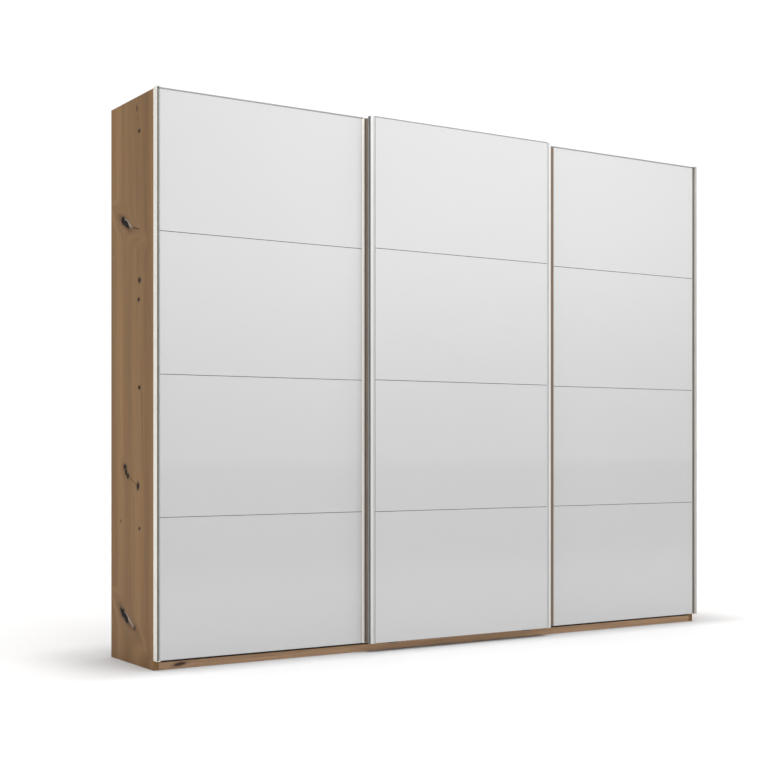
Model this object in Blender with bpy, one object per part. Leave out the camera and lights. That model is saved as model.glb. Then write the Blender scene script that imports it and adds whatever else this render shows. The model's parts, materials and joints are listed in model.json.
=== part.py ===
"""Sliding door wardrobe: an oak carcass with three bays and three glass-faced sliding doors.

Metres, +Z up. The doors face -Y and slide along X. The outer two doors share one running line,
and the centre door runs in front of them on a line of its own.
"""
import math

import bmesh
import bpy
from mathutils import Matrix, Vector

# ---------------------------------------------------------------- driving dimensions
WIDTH = 2.710               # over the side panels, and over the outer doors
CARCASS_DEPTH = 0.400
DOOR_STACK = 0.056          # from the carcass front to the centre door's face
CARCASS_HEIGHT = 2.111
GAP = 0.0003                # between pieces that touch

CARCASS_FRONT = (DOOR_STACK - CARCASS_DEPTH) / 2
CARCASS_BACK = CARCASS_FRONT + CARCASS_DEPTH
HALF = WIDTH / 2

SIDE_THICKNESS = 0.022
BOARD = 0.016               # thickness of the inner boards
DIVIDER_X = 0.452           # centre of each divider, from the middle
INNER_SETBACK = 0.020       # inner boards stand back from the side panels' front edges
SHELF_SETBACK = 0.030
TOP_BOARD_SETBACK = 0.004
BACK_THICKNESS = 0.0032
BACK_INSET = 0.001
BACK_PANEL_BOTTOM = 0.020
SIDE_EDGE = 0.0006          # small rounding along the boards' edges
BOARD_EDGE = 0.0005
GLASS_EDGE = 0.0004
FOOT_EDGE = 0.002
FOOT_HALF_WIDTH = 0.030
FOOT_Y = (0.060, 0.360)     # measured back from the carcass front, as every y here

TOP_BOARD_TOP = 2.063
BOTTOM_BOARD_Z = 0.052
PLINTH_HEIGHT = 0.027
HAT_SHELF_Z = 1.740
CENTRE_SHELF_Z = (0.480, 0.900, 1.320)
RAIL_DROP = 0.045           # hanging rail centre below its shelf
RAIL_RADIUS = 0.0125
RAIL_Y = (0.050, 0.370)
STEM_Y = (0.090, 0.330)
STEM_SIZE = (0.012, 0.024)

OUTER_WIDTH = 0.906
CENTRE_WIDTH = 0.914
DOOR_BOTTOM = 0.036
OUTER_TOP = 2.1135
CENTRE_TOP = 2.116
GLASS = 0.004
DOOR_BOARD = 0.010
PANES = 4
SEAM = 0.002
OUTER_FACE = 0.018          # glass face of the outer doors, forward of the carcass front
FIN_FRONT = 0.032           # front of the outer doors' handle fin, forward of the carcass front
CENTRE_FACE = DOOR_STACK

STILE_REACH = 0.018         # an outer door's edge profiles, inward from the door's end
STILE_BACK_REACH = 0.016
FIN_WALL = 0.003
FIN_FLANGE = 0.0018
INNER_WEB = 0.002
INNER_FLANGE = 0.0014
GRIP_LIP = 0.012            # the centre door's edge profile: front lip beside the recessed strip
GRIP_STEP = 0.0020
GRIP_REACH = 0.0212
GRIP_BACK_REACH = 0.022
GRIP_HOLD = 0.014           # its web, which ends at the board
GRIP_CHANNEL = 0.010        # depth of its finger channel
GRIP_WALL = 0.0022
GRIP_DEPTH = 0.0206
GLASS_JOINT = 0.0005        # between a pane and the profile beside it

WHEEL_RADIUS = 0.0135
GROOVE_RADIUS = 0.0110      # rolling radius on the track's ridge
WHEEL_WIDTH = 0.012
AXLE_RADIUS = 0.004
RIDGE_TOP = TOP_BOARD_TOP + 0.0065
WHEEL_Z = RIDGE_TOP + GAP + GROOVE_RADIUS
OUTER_TRACK_Y = 0.0255      # ridge centre lines, behind the carcass front
CENTRE_TRACK_Y = 0.0660
TRACK_Y = (0.008, 0.084)
TRACK_BASE = 0.002
RIDGE_FOOT = 0.0030         # half widths of a ridge, from its foot to its top
RIDGE_SHOULDER = 0.0014
RIDGE_CROWN = 0.0006
RIDGE_ROUNDING = 0.0012
WHEEL_EDGE = 0.0006
GROOVE_HALF_TOP = 0.0036
GROOVE_HALF_FLOOR = 0.0012
HANGER_INSET = 0.120        # hanger centre from the door's edge
HANGER_WIDTH = 0.050
STRAP = 0.002
STRAP_ARM = 0.0025          # thickness of a hanger's arm over its wheel
WHEEL_CLEARANCE = 0.0015
LEG_BELOW_AXLE = 0.004
HANGER_DROP = 0.060
OUTER_HANGER_TOP = 2.1030
CENTRE_HANGER_TOP = 2.1180  # passes over the outer doors

GUIDE_WIDTH = 0.040
GUIDE_THICKNESS = 0.0030
TONGUE_HALF = 0.0030
GUIDE_TONGUE_BOTTOM = 0.0205
GUIDE_PLATE_TOP = 0.070
OUTER_GUIDE_ARM_Z = 0.0370
CENTRE_GUIDE_ARM_Z = 0.0305  # passes under the outer doors
GUIDE_WALL = 0.003
GUIDE_CHANNEL = 0.0095
CENTRE_GUIDE_Y = BOARD + GAP + GUIDE_WALL + GUIDE_CHANNEL / 2   # tongue centre lines
OUTER_GUIDE_Y = CENTRE_GUIDE_Y + GUIDE_WALL + GUIDE_CHANNEL
GUIDE_RAIL_BOTTOM = 0.012
GUIDE_RAIL_TOP = 0.0275


# ---------------------------------------------------------------- materials
def material(name, colour, roughness, metallic=0.0):
    mat = bpy.data.materials.new(name)
    mat.use_nodes = True
    shader = mat.node_tree.nodes["Principled BSDF"]
    shader.inputs["Base Color"].default_value = (*colour, 1.0)
    shader.inputs["Roughness"].default_value = roughness
    shader.inputs["Metallic"].default_value = metallic
    return mat


# ---------------------------------------------------------------- shapes
def add_object(name, mesh, mat, origin=(0.0, 0.0, 0.0), parent=None):
    """Link a mesh whose vertices are in world places, with its origin moved to a given point."""
    mesh.transform(Matrix.Translation(-Vector(origin)))
    mesh.materials.append(mat)
    obj = bpy.data.objects.new(name, mesh)
    bpy.context.collection.objects.link(obj)
    obj.location = origin
    if parent is not None:
        obj.parent = parent
        obj.matrix_parent_inverse = Matrix.Translation(-parent.location)
    return obj


def mesh_from(bm, name):
    bmesh.ops.recalc_face_normals(bm, faces=bm.faces)
    mesh = bpy.data.meshes.new(name)
    bm.to_mesh(mesh)
    bm.free()
    return mesh


def soften(obj, width, segments=1):
    bevel = obj.modifiers.new("edge", "BEVEL")
    bevel.width = width
    bevel.segments = segments
    bevel.limit_method = "ANGLE"
    bevel.use_clamp_overlap = True


def box(name, x, y, z, mat, parent=None, edge=0.0):
    """A board between two x, two y (from the carcass front, backward positive) and two z."""
    low = Vector((x[0], CARCASS_FRONT + y[0], z[0]))
    high = Vector((x[1], CARCASS_FRONT + y[1], z[1]))
    bm = bmesh.new()
    size = Matrix.Diagonal((high - low).to_4d())
    bmesh.ops.create_cube(bm, size=1.0, matrix=Matrix.Translation((low + high) / 2) @ size)
    centre = (low + high) / 2
    obj = add_object(name, mesh_from(bm, name), mat, centre, parent)
    if edge:
        soften(obj, edge)
    return obj


def prism(name, outline, place, length, mat, parent=None):
    """Extrude a closed outline. place(u, v, t) gives the world point for outline u, v at t."""
    bm = bmesh.new()
    base = [bm.verts.new(place(u, v, length[0])) for u, v in outline]
    face = bm.faces.new(base)
    far = bmesh.ops.extrude_face_region(bm, geom=[face])
    moved = [v for v in far["geom"] if isinstance(v, bmesh.types.BMVert)]
    shift = place(0.0, 0.0, length[1]) - place(0.0, 0.0, length[0])
    bmesh.ops.translate(bm, verts=moved, vec=shift)
    middle = place(outline[0][0], outline[0][1], sum(length) / 2)
    return add_object(name, mesh_from(bm, name), mat, middle, parent)


def upright(u, v, t):
    """Outline in plan, extruded up."""
    return Vector((u, CARCASS_FRONT + v, t))


def sideways(u, v, t):
    """Outline in a Y-Z section, extruded along X."""
    return Vector((t, CARCASS_FRONT + u, v))


def cylinder_mesh(name, radius, centre, y_range, sides=24):
    bm = bmesh.new()
    length = y_range[1] - y_range[0]
    middle = Vector((centre[0], CARCASS_FRONT + sum(y_range) / 2, centre[1]))
    turn = Matrix.Rotation(math.pi / 2, 4, "X")
    bmesh.ops.create_cone(
        bm, cap_ends=True, segments=sides, radius1=radius, radius2=radius,
        depth=length, matrix=Matrix.Translation(middle) @ turn)
    return mesh_from(bm, name)


def join_solid(obj, tool_mesh, operation):
    """Boolean a helper mesh into an object, and hide the helper."""
    tool = bpy.data.objects.new(obj.name + "_tool", tool_mesh)
    bpy.context.collection.objects.link(tool)
    boolean = obj.modifiers.new(operation.lower(), "BOOLEAN")
    boolean.operation = operation
    boolean.solver = "EXACT"
    boolean.object = tool
    bpy.context.view_layer.update()
    evaluated = obj.evaluated_get(bpy.context.evaluated_depsgraph_get())
    result = bpy.data.meshes.new_from_object(evaluated)
    obj.modifiers.remove(boolean)
    result.materials.clear()
    result.materials.append(obj.data.materials[0])
    obj.data = result
    bpy.data.objects.remove(tool)


def smooth_round(obj):
    """Shade the faces around a Y axis smooth, and leave the flat ends flat."""
    for face in obj.data.polygons:
        face.use_smooth = abs(face.normal.y) < 0.9


# ---------------------------------------------------------------- carcass
def build_carcass(mats):
    oak = mats["oak"]
    inner_left = -HALF + SIDE_THICKNESS + GAP
    inner_right = -inner_left
    depth_end = CARCASS_DEPTH - BACK_INSET - BACK_THICKNESS - GAP
    top_under = TOP_BOARD_TOP - BOARD
    bottom_top = BOTTOM_BOARD_Z + BOARD

    for name, side in (("left_side_panel", -1), ("right_side_panel", 1)):
        faces = sorted((side * HALF, side * (HALF - SIDE_THICKNESS)))
        box(name, faces, (0.0, CARCASS_DEPTH), (0.0, CARCASS_HEIGHT), oak, edge=SIDE_EDGE)

    box("top_board", (inner_left, inner_right), (TOP_BOARD_SETBACK, depth_end),
        (top_under, TOP_BOARD_TOP), oak, edge=BOARD_EDGE)
    box("bottom_board", (inner_left, inner_right), (INNER_SETBACK, depth_end),
        (BOTTOM_BOARD_Z, bottom_top), oak, edge=BOARD_EDGE)
    box("front_plinth", (inner_left, inner_right), (0.0, BOARD), (0.0, PLINTH_HEIGHT),
        oak, edge=BOARD_EDGE)

    for name, side in (("left_divider", -1), ("right_divider", 1)):
        x = (side * DIVIDER_X - BOARD / 2, side * DIVIDER_X + BOARD / 2)
        box(name, x, (INNER_SETBACK, depth_end), (bottom_top + GAP, top_under - GAP), oak,
            edge=BOARD_EDGE)
        foot = name.replace("divider", "support_foot")
        foot_x = (side * DIVIDER_X - FOOT_HALF_WIDTH, side * DIVIDER_X + FOOT_HALF_WIDTH)
        box(foot, foot_x, FOOT_Y, (0.0, BOTTOM_BOARD_Z - GAP), mats["foot"], edge=FOOT_EDGE)

    edge_of_bay = DIVIDER_X + BOARD / 2 + GAP
    bays = {
        "left": (inner_left, -edge_of_bay),
        "centre": (-edge_of_bay + BOARD + 2 * GAP, edge_of_bay - BOARD - 2 * GAP),
        "right": (edge_of_bay, inner_right),
    }
    back_y = (CARCASS_DEPTH - BACK_INSET - BACK_THICKNESS, CARCASS_DEPTH - BACK_INSET)
    back_edges = (inner_left, -DIVIDER_X, DIVIDER_X, inner_right)
    for index, bay in enumerate(bays):
        x = (back_edges[index] + GAP, back_edges[index + 1] - GAP)
        box("back_panel_" + bay, x, back_y, (BACK_PANEL_BOTTOM, TOP_BOARD_TOP), mats["back"])

    shelf_y = (SHELF_SETBACK, depth_end)
    for bay in ("left", "right"):
        box("hat_shelf_" + bay, bays[bay], shelf_y, (HAT_SHELF_Z, HAT_SHELF_Z + BOARD), oak,
            edge=BOARD_EDGE)
        build_hanging_rail("hanging_rail_" + bay, sum(bays[bay]) / 2, mats["steel"])
    for name, z in zip(("lower", "middle", "upper"), CENTRE_SHELF_Z):
        box(name + "_centre_shelf", bays["centre"], shelf_y, (z, z + BOARD), oak, edge=BOARD_EDGE)

    build_top_track(mats["aluminium"], (inner_left, inner_right))
    build_guide_rail(mats["dark"], (inner_left, inner_right))


def build_hanging_rail(name, x, mat):
    """A front-to-back tube with two stems up to the shelf above it."""
    z = HAT_SHELF_Z - RAIL_DROP
    rail = add_object(name, cylinder_mesh(name, RAIL_RADIUS, (x, z), RAIL_Y), mat)
    half_x, half_y = STEM_SIZE[0] / 2, STEM_SIZE[1] / 2
    for y in STEM_Y:
        stem = bmesh.new()
        low = Vector((x - half_x, CARCASS_FRONT + y - half_y, z))
        high = Vector((x + half_x, CARCASS_FRONT + y + half_y, HAT_SHELF_Z - GAP))
        size = Matrix.Diagonal((high - low).to_4d())
        bmesh.ops.create_cube(stem, matrix=Matrix.Translation((low + high) / 2) @ size)
        join_solid(rail, mesh_from(stem, name + "_stem"), "UNION")
    smooth_round(rail)


def build_top_track(mat, x):
    """Extrusion screwed on the top board: a base with one ridge for each running line."""
    base_low = TOP_BOARD_TOP + GAP
    base_high = base_low + TRACK_BASE
    shoulder = RIDGE_TOP - RIDGE_ROUNDING
    outline = [(TRACK_Y[0], base_low), (TRACK_Y[1], base_low), (TRACK_Y[1], base_high)]
    for centre in (CENTRE_TRACK_Y, OUTER_TRACK_Y):
        outline += [(centre + RIDGE_FOOT, base_high), (centre + RIDGE_SHOULDER, shoulder),
                    (centre + RIDGE_CROWN, RIDGE_TOP), (centre - RIDGE_CROWN, RIDGE_TOP),
                    (centre - RIDGE_SHOULDER, shoulder), (centre - RIDGE_FOOT, base_high)]
    outline += [(TRACK_Y[0], base_high)]
    prism("top_track", outline, sideways, x, mat)


def build_guide_rail(mat, x):
    """Extrusion behind the plinth with two channels open at the top."""
    start = BOARD + GAP
    channel_floor = GUIDE_RAIL_BOTTOM + GUIDE_WALL
    outline = [(start, GUIDE_RAIL_BOTTOM)]
    end = start + 3 * GUIDE_WALL + 2 * GUIDE_CHANNEL
    outline += [(end, GUIDE_RAIL_BOTTOM), (end, GUIDE_RAIL_TOP)]
    inner = end - GUIDE_WALL
    for _ in range(2):
        outline += [(inner, GUIDE_RAIL_TOP), (inner, channel_floor),
                    (inner - GUIDE_CHANNEL, channel_floor), (inner - GUIDE_CHANNEL, GUIDE_RAIL_TOP)]
        inner -= GUIDE_CHANNEL + GUIDE_WALL
    outline += [(start, GUIDE_RAIL_TOP)]
    prism("bottom_guide_rail", outline, sideways, x, mat)


# ---------------------------------------------------------------- door edge profiles
def mirrored(outline, side, edge_x):
    """Turn an outline measured inward from a door edge into plan coordinates."""
    return [(edge_x - side * u, v) for u, v in outline]


def fin_outline():
    """Outer edge of an outer door: a deep web with a channel that holds the board's edge."""
    board_front = -OUTER_FACE + GLASS
    board_back = board_front + DOOR_BOARD + 2 * GAP
    return [(0.0, -FIN_FRONT), (FIN_WALL, -FIN_FRONT), (FIN_WALL, board_front - FIN_FLANGE),
            (STILE_REACH, board_front - FIN_FLANGE), (STILE_REACH, board_front),
            (FIN_WALL, board_front), (FIN_WALL, board_back), (STILE_BACK_REACH, board_back),
            (STILE_BACK_REACH, board_back + FIN_FLANGE), (0.0, board_back + FIN_FLANGE)]


def inner_outline():
    """Inner edge of an outer door: a plain channel flush with the glass."""
    board_front = -OUTER_FACE + GLASS
    board_back = board_front + DOOR_BOARD + 2 * GAP
    return [(0.0, -OUTER_FACE), (STILE_REACH, -OUTER_FACE), (STILE_REACH, board_front),
            (INNER_WEB, board_front), (INNER_WEB, board_back), (STILE_BACK_REACH, board_back),
            (STILE_BACK_REACH, board_back + INNER_FLANGE), (0.0, board_back + INNER_FLANGE)]


def grip_outline():
    """Edge of the centre door: a finger channel open to the side, and a lip beside the glass."""
    face = -CENTRE_FACE
    board_front = face + GLASS
    board_back = board_front + DOOR_BOARD + 2 * GAP
    rear = board_back + INNER_FLANGE
    far_wall = face + GRIP_DEPTH
    return [(0.0, face), (GRIP_LIP, face), (GRIP_LIP, face + GRIP_STEP),
            (GRIP_REACH, face + GRIP_STEP), (GRIP_REACH, board_front),
            (GRIP_HOLD, board_front), (GRIP_HOLD, board_back),
            (GRIP_BACK_REACH, board_back), (GRIP_BACK_REACH, rear), (GRIP_LIP, rear),
            (GRIP_LIP, far_wall), (0.0, far_wall), (0.0, far_wall - GRIP_WALL),
            (GRIP_CHANNEL, far_wall - GRIP_WALL), (GRIP_CHANNEL, face + GRIP_WALL),
            (0.0, face + GRIP_WALL)]


# ---------------------------------------------------------------- door hardware
def build_wheel(name, x, y, mat, parent):
    """A grooved roller turned about its own axis, with a clear bore for the axle."""
    half = WHEEL_WIDTH / 2
    bore = AXLE_RADIUS + GAP
    section = [(bore, -half), (WHEEL_RADIUS - WHEEL_EDGE, -half),
               (WHEEL_RADIUS, -half + WHEEL_EDGE), (WHEEL_RADIUS, -GROOVE_HALF_TOP),
               (GROOVE_RADIUS, -GROOVE_HALF_FLOOR), (GROOVE_RADIUS, GROOVE_HALF_FLOOR),
               (WHEEL_RADIUS, GROOVE_HALF_TOP), (WHEEL_RADIUS, half - WHEEL_EDGE),
               (WHEEL_RADIUS - WHEEL_EDGE, half), (bore, half)]
    bm = bmesh.new()
    ring = [bm.verts.new((r, along, 0.0)) for r, along in section]
    edges = [bm.edges.new((ring[i], ring[(i + 1) % len(ring)])) for i in range(len(ring))]
    bmesh.ops.spin(bm, geom=ring + edges, cent=(0, 0, 0), axis=(0, 1, 0),
                   angle=2 * math.pi, steps=32, use_duplicate=False)
    bmesh.ops.remove_doubles(bm, verts=bm.verts, dist=1e-6)
    mesh = mesh_from(bm, name)
    centre = Vector((x, CARCASS_FRONT + y, WHEEL_Z))
    mesh.transform(Matrix.Translation(centre))
    smooth_round(add_object(name, mesh, mat, centre, parent))


def build_hanger(name, x, back, track_y, top, mat, parent):
    """A bent strap from the board's back, over to the far side of the wheel, with its axle."""
    plate = back + GAP
    leg = track_y + WHEEL_WIDTH / 2 + WHEEL_CLEARANCE
    leg_bottom = WHEEL_Z - AXLE_RADIUS - LEG_BELOW_AXLE
    outline = [(plate, top - HANGER_DROP), (plate + STRAP, top - HANGER_DROP),
               (plate + STRAP, top - STRAP_ARM), (leg, top - STRAP_ARM), (leg, leg_bottom),
               (leg + STRAP, leg_bottom), (leg + STRAP, top), (plate, top)]
    span = (x - HANGER_WIDTH / 2, x + HANGER_WIDTH / 2)
    hanger = prism(name, outline, sideways, span, mat, parent)
    pin = cylinder_mesh(name + "_pin", AXLE_RADIUS, (x, WHEEL_Z),
                        (track_y - WHEEL_WIDTH / 2 - WHEEL_CLEARANCE, leg + STRAP / 2), 20)
    join_solid(hanger, pin, "UNION")


def build_guide(name, x, back, tongue_y, arm_z, mat, parent):
    """A foot screwed to the board's back, whose arm carries a tongue in the guide rail."""
    plate = back + GAP
    plate_back = plate + GUIDE_THICKNESS
    near, far = tongue_y - TONGUE_HALF, tongue_y + TONGUE_HALF
    arm_top = arm_z + GUIDE_THICKNESS
    outline = [(plate, arm_z), (near, arm_z), (near, GUIDE_TONGUE_BOTTOM),
               (far, GUIDE_TONGUE_BOTTOM), (far, arm_top), (plate_back, arm_top),
               (plate_back, GUIDE_PLATE_TOP), (plate, GUIDE_PLATE_TOP)]
    span = (x - GUIDE_WIDTH / 2, x + GUIDE_WIDTH / 2)
    prism(name, outline, sideways, span, mat, parent)


# ---------------------------------------------------------------- doors
def build_door(name, x_range, top, face, profiles, gear, mats):
    """One sliding door. profiles are its left and right edges, each an outline with how far the
    panes and the board stand in from the door's end."""
    height = (DOOR_BOTTOM, top)
    left, right = x_range
    (_, left_glass, left_board), (_, right_glass, right_board) = profiles
    parent = bpy.data.objects.new(name, None)
    parent.location = ((left + right) / 2, CARCASS_FRONT - face, 0.0)
    bpy.context.collection.objects.link(parent)

    board_front = -face + GLASS + GAP
    board_back = board_front + DOOR_BOARD
    box(name + "_board", (left + left_board, right - right_board), (board_front, board_back),
        height, mats["door_board"], parent)

    glass_x = (left + left_glass, right - right_glass)
    pane = (top - DOOR_BOTTOM - (PANES - 1) * SEAM) / PANES
    for index in range(PANES):
        low = DOOR_BOTTOM + index * (pane + SEAM)
        box(f"{name}_glass_{index + 1}", glass_x, (-face, -face + GLASS), (low, low + pane),
            mats["glass"], parent, edge=GLASS_EDGE)

    for end, side, edge_x, profile in (("left", -1, left, profiles[0]),
                                       ("right", 1, right, profiles[1])):
        outline = mirrored(profile[0], side, edge_x)
        prism(f"{name}_{end}_stile", outline, upright, height, mats["profile"], parent)
        x = edge_x - side * HANGER_INSET
        build_hanger(f"{name}_{end}_hanger", x, board_back, gear["track_y"],
                     gear["hanger_top"], mats["steel"], parent)
        build_wheel(f"{name}_{end}_wheel", x, gear["track_y"], mats["nylon"], parent)
        build_guide(f"{name}_{end}_guide", x, board_back, gear["tongue_y"], gear["arm_z"],
                    mats["nylon"], parent)


def build_doors(mats):
    fin = (fin_outline(), STILE_REACH + GLASS_JOINT, FIN_WALL + GAP)
    plain = (inner_outline(), STILE_REACH + GLASS_JOINT, INNER_WEB + GAP)
    grip = (grip_outline(), GRIP_REACH + GLASS_JOINT, GRIP_HOLD + GAP)
    outer_gear = {"track_y": OUTER_TRACK_Y, "hanger_top": OUTER_HANGER_TOP,
                  "tongue_y": OUTER_GUIDE_Y, "arm_z": OUTER_GUIDE_ARM_Z}
    centre_gear = {"track_y": CENTRE_TRACK_Y, "hanger_top": CENTRE_HANGER_TOP,
                   "tongue_y": CENTRE_GUIDE_Y, "arm_z": CENTRE_GUIDE_ARM_Z}
    half_centre = CENTRE_WIDTH / 2
    build_door("left_door", (-HALF, -HALF + OUTER_WIDTH), OUTER_TOP, OUTER_FACE,
               (fin, plain), outer_gear, mats)
    build_door("centre_door", (-half_centre, half_centre), CENTRE_TOP, CENTRE_FACE,
               (grip, grip), centre_gear, mats)
    build_door("right_door", (HALF - OUTER_WIDTH, HALF), OUTER_TOP, OUTER_FACE,
               (plain, fin), outer_gear, mats)


def main():
    for old in list(bpy.data.objects):
        bpy.data.objects.remove(old)
    mats = {
        "oak": material("oak", (0.30, 0.19, 0.11), 0.55),
        "back": material("back_board", (0.62, 0.60, 0.56), 0.70),
        "foot": material("foot_block", (0.10, 0.09, 0.08), 0.60),
        "glass": material("white_glass", (0.80, 0.80, 0.79), 0.05),
        "door_board": material("door_board", (0.70, 0.69, 0.66), 0.60),
        "profile": material("profile", (0.78, 0.76, 0.72), 0.35),
        "aluminium": material("aluminium", (0.75, 0.75, 0.76), 0.35, 1.0),
        "steel": material("steel", (0.55, 0.56, 0.58), 0.30, 1.0),
        "dark": material("guide_rail", (0.05, 0.045, 0.04), 0.50),
        "nylon": material("nylon", (0.08, 0.08, 0.085), 0.45),
    }
    build_carcass(mats)
    build_doors(mats)


main()
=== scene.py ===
"""Looks of the sliding door wardrobe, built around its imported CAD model.

Metres, +Z up, doors facing -Y. Places are read from the CAD nodes' boxes, so every added piece
sits where the model has room for it.
"""
import json
import math
import random
from typing import NamedTuple

import bmesh
import bpy
from mathutils import Matrix, Vector


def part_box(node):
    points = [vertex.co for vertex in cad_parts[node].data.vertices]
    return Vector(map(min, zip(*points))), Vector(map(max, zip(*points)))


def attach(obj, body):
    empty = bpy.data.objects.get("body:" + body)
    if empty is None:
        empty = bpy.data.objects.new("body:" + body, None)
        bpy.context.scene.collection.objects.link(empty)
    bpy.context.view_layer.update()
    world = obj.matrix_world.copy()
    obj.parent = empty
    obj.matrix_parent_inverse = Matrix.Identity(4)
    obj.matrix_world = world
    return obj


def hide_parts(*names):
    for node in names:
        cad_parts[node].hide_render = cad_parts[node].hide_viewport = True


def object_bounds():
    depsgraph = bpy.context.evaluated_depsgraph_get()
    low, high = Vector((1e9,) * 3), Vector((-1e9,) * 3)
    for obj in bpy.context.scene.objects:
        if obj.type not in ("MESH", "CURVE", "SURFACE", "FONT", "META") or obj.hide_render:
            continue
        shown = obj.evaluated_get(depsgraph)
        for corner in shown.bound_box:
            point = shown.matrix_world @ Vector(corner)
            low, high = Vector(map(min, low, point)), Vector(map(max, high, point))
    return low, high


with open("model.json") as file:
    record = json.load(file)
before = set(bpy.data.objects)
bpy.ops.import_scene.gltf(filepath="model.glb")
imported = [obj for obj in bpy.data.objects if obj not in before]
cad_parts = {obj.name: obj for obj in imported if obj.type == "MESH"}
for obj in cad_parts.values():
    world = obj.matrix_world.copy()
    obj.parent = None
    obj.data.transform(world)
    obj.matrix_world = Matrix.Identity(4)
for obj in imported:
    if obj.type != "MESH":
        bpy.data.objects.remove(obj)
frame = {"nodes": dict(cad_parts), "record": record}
cad_low, cad_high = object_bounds()

DOORS = ("left_door", "centre_door", "right_door")
SIDES = (("left", -1), ("right", 1))
INNER_EDGES = (("left_door", "right", 1), ("right_door", "left", -1))
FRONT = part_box("left_side_panel")[0].y  # the carcass front, without the doors
CLEAR = 0.0002  # air between an added piece and the CAD
BEAD_START = 0.0135  # cream bead of an outer door's inner edge, from its end
BEAD_END = 0.0255
FIN_WALL = 0.0030  # thickness of an outer door's handle fin
FIN_TIP_END = 0.0300  # of the left fin's tip with painted shade, from the carcass front
LIP_END = 0.0010  # of the centre door's lips, from its face
RECESS_END = 0.0035  # of the recesses behind them, which get painted shade


# ======== node helpers
class Nodes:
    """Short calls for making a material's node tree."""

    def __init__(self, name):
        self.material = bpy.data.materials.new(name)
        self.material.use_nodes = True
        self.tree = self.material.node_tree
        self.shader = self.tree.nodes["Principled BSDF"]

    def add(self, kind, **values):
        node = self.tree.nodes.new(kind)
        for key, value in values.items():
            setattr(node, key, value)
        return node

    def feed(self, socket, value):
        if isinstance(value, bpy.types.NodeSocket):
            self.tree.links.new(value, socket)
        elif isinstance(value, tuple) and len(value) == 3 and socket.type == "RGBA":
            socket.default_value = (*value, 1.0)
        else:
            socket.default_value = value

    def feed_names(self, node, **values):
        """Feeds a node's inputs by name, with an underscore for each space."""
        for key, value in values.items():
            self.feed(node.inputs[key.replace("_", " ")], value)

    def result(self, kind, values, **settings):
        """The result of a new node, its first inputs fed in order."""
        node = self.add(kind, **settings)
        for socket, value in zip(node.inputs, values):
            self.feed(socket, value)
        return node.outputs[0]

    def math(self, operation, a, b=0.0):
        return self.result("ShaderNodeMath", (a, b), operation=operation)

    def times(self, a, b):
        return self.math("MULTIPLY", a, b)

    def plus(self, a, b):
        return self.math("ADD", a, b)

    def minus(self, a, b):
        return self.math("SUBTRACT", a, b)

    def chain(self, operation, values):
        result = values[0]
        for value in values[1:]:
            result = self.math(operation, result, value)
        return result

    def coordinates(self, output):
        node = self.add("ShaderNodeSeparateXYZ")
        self.feed(node.inputs[0], self.add("ShaderNodeTexCoord").outputs[output])
        return node.outputs

    def place(self):
        """The surface point's x, y and z in the part's own frame, in metres."""
        return self.coordinates("Object")

    def facing(self):
        """The surface normal's x, y and z in the part's own frame."""
        return self.coordinates("Normal")

    def combine(self, x, y, z):
        return self.result("ShaderNodeCombineXYZ", (x, y, z))

    def noise(self, vector, scale, detail=3.0, roughness=0.5, distortion=0.0):
        node = self.add("ShaderNodeTexNoise")
        self.feed_names(node, Vector=vector, Scale=scale, Detail=detail, Roughness=roughness,
                        Distortion=distortion)
        return node.outputs["Fac"]

    def smooth(self, value, low, high, to_low=0.0, to_high=1.0):
        return self.result("ShaderNodeMapRange", (value, low, high, to_low, to_high),
                           interpolation_type="SMOOTHSTEP")

    def mix(self, factor, a, b, blend="MIX"):
        node = self.add("ShaderNodeMix", data_type="RGBA", blend_type=blend)
        self.feed(node.inputs[0], factor)
        self.feed(node.inputs[6], a)
        self.feed(node.inputs[7], b)
        return node.outputs[2]

    def ramp(self, factor, stops):
        node = self.add("ShaderNodeValToRGB")
        elements = node.color_ramp.elements
        for index, (position, colour) in enumerate(stops):
            stop = elements[index] if index < 2 else elements.new(position)
            stop.position = position
            stop.color = (*colour, 1.0)
        self.feed(node.inputs[0], factor)
        return node.outputs[0]

    def bump(self, height, distance, strength=1.0):
        node = self.add("ShaderNodeBump")
        self.feed_names(node, Distance=distance, Strength=strength, Height=height)
        self.feed(self.shader.inputs["Normal"], node.outputs[0])

    def edge_distance(self, low, high):
        """How far a point on a box's surface is from the nearest edge of that box."""
        gaps = []
        for value, start, end in zip(self.place(), low, high):
            gaps.append(self.math("MINIMUM", self.minus(value, start), self.minus(end, value)))
        outer = self.plus(self.chain("MINIMUM", gaps), self.chain("MAXIMUM", gaps))
        return self.minus(self.chain("ADD", gaps), outer)

    def finish(self, colour, roughness, **values):
        self.feed_names(self.shader, Base_Color=colour, Roughness=roughness, **values)
        return self.material


# ======== oak
OAK_LIGHT = (0.322, 0.184, 0.080)
OAK_MIDDLE = (0.249, 0.139, 0.058)
OAK_DARK = (0.168, 0.090, 0.038)
KNOT_RING = (0.105, 0.054, 0.028)
KNOT_BLACK = (0.010, 0.006, 0.004)
SPLIT_GREY = (0.330, 0.270, 0.210)
OUTER_TONE = (1.0, 1.0, 1.0)
# painted light: the plinth's oak is paler than the side panels', offsetting the shade that the
# doors' overhang casts on it
PLINTH_PAINTED_LIGHT_TONE = (2.00, 2.28, 3.25)
PLINTH_MIDDLE_PAINTED_LIGHT = 1.38  # painted light: the plinth is this much paler under the centre door, against the shade of its deeper overhang
PAINTED_LIGHT_MIDDLE_FADE = (0.50, 0.40)  # that painted light fades out between these distances from the middle
INNER_TONE = (1.22, 1.22, 1.27)
OAK_SPECULAR = 0.12
OAK_SEED = 41
CRACK_WIDTH = 0.003  # a knot narrower than this is a crack, which bends no grain
EDGE_WEAR = 0.0016  # how far the paler wear reaches from a board's edges
BAND_JOINT = 0.0011  # the edge band's joint, from the edge
BAND_JOINT_HALF = 0.00018


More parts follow.
